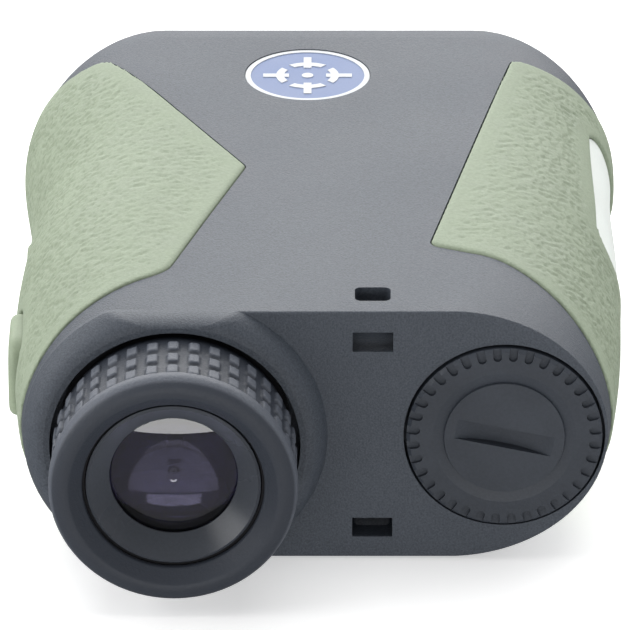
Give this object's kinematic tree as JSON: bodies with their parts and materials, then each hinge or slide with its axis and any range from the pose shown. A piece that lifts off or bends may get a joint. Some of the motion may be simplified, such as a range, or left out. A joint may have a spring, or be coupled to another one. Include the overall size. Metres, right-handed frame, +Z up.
{
  "type": "laser rangefinder",
  "caption": "Compact handheld laser rangefinder with a knurled eyepiece, coin-slot battery cap, side buttons and rubber armour.",
  "frame": {"origin": "middle of the footprint, on the flat face that the instrument lies on", "axes": "+Y along the line of sight from eyepiece to objective, +X from the eyepiece and button end to the battery and label end, +Z up through the wide face with the badge"},
  "size_m": [0.0833, 0.1118, 0.0366],
  "materials": {
    "housing_plastic": "fine sand-textured grey-blue moulding",
    "armour_rubber": "sage green rubber with a leather-like grain",
    "button_rubber": "smooth sage green rubber",
    "label_film": "off-white plastic plate",
    "badge_white": "glossy white moulding",
    "badge_blue": "periwinkle blue enamel",
    "eyecup_rubber": "black rubber, knurled",
    "cap_plastic": "black moulding, fine texture",
    "black_gloss": "polished black",
    "black_alloy": "black anodised",
    "coated_glass": "anti-reflection coated lens",
    "prism_glass": "clear optical glass",
    "display_glass": "clear liquid crystal panel",
    "frame_plastic": "black moulding",
    "board_green": "green solder mask",
    "chip_black": "moulded packages",
    "ribbon_amber": "polyimide film",
    "steel": "bright steel",
    "brass": "nickel-free contact brass",
    "battery_wrap": "printed cell jacket, plain",
    "seal_rubber": "black seal rubber"
  },
  "bodies": {
    "root": {"main_housing": "housing_plastic", "left_armour": "armour_rubber", "right_armour": "armour_rubber", "spec_label": "label_film", "badge_plate": "badge_white", "badge_enamel": "badge_blue", "eyepiece_tube": "black_alloy", "eyepiece_nut": "black_alloy", "eyepiece_o_ring": "seal_rubber", "diopter_clip": "steel", "battery_cell": "battery_wrap", "battery_tube": "frame_plastic", "positive_contact": "brass", "front_bezel": "cap_plastic", "front_gasket": "seal_rubber", "bezel_screws": "steel", "objective_lens": "coated_glass", "objective_cell": "black_alloy", "objective_retainer": "black_alloy", "objective_tube": "black_alloy", "receiver_lens": "coated_glass", "receiver_cell": "black_alloy", "receiver_retainer": "black_alloy", "receiver_tube": "frame_plastic", "interference_filter": "prism_glass", "detector_apd": "steel", "receiver_board": "board_green", "optical_chassis": "frame_plastic", "chassis_screws": "steel", "prism_front": "prism_glass", "prism_roof": "prism_glass", "prism_housing": "frame_plastic", "prism_clip": "steel", "reticle_display": "display_glass", "reticle_holder": "frame_plastic", "laser_module": "brass", "main_pcb": "board_green", "pcb_components": "chip_black", "button_board": "board_green", "tact_switches": "steel", "flex_cable": "ribbon_amber"},
    "diopter": {"eyecup": "eyecup_rubber", "diopter_ring": "black_alloy"},
    "ocular": {"ocular_cell": "black_alloy", "eye_lens": "coated_glass", "ocular_inner_lens": "coated_glass", "ocular_spacer": "black_alloy", "ocular_stop": "black_alloy", "ocular_retainer": "black_gloss", "cam_pin": "steel"},
    "cap_seat": {"battery_cap_seal": "seal_rubber"},
    "cap": {"battery_cap": "cap_plastic", "cap_contact": "brass", "battery_spring": "steel"},
    "power_key": {"power_button": "button_rubber"},
    "mode_key": {"mode_button": "button_rubber"}
  },
  "joints": [
    {"name": "diopter_turn", "type": "hinge", "parent": "root", "child": "diopter", "pos_m": [-0.019, 0, 0.0183], "axis": [0, 1, 0], "range_deg": [-120, 120]},
    {"name": "ocular_focus", "type": "slide", "parent": "root", "child": "ocular", "axis": [0, 1, 0], "range_m": [-0.00081, 0.00081]},
    {"name": "cap_travel", "type": "slide", "parent": "root", "child": "cap_seat", "axis": [0, -1, 0], "range_m": [0, 0.00451]},
    {"name": "cap_turn", "type": "hinge", "parent": "cap_seat", "child": "cap", "pos_m": [0.0242, 0, 0.0183], "axis": [0, -1, 0], "range_deg": [0, 1080]},
    {"name": "power_press", "type": "slide", "parent": "root", "child": "power_key", "axis": [1, 0, 0], "range_m": [0, 0.0006], "stiffness_N_per_m": 1500},
    {"name": "mode_press", "type": "slide", "parent": "root", "child": "mode_key", "axis": [1, 0, 0], "range_m": [0, 0.0005], "stiffness_N_per_m": 1500}
  ],
  "couplings": [
    {"joint": "ocular_focus", "follows": "diopter_turn", "m_per_rad": 0.00038197},
    {"joint": "cap_travel", "follows": "cap_turn", "m_per_rad": 0.00023873}
  ]
}
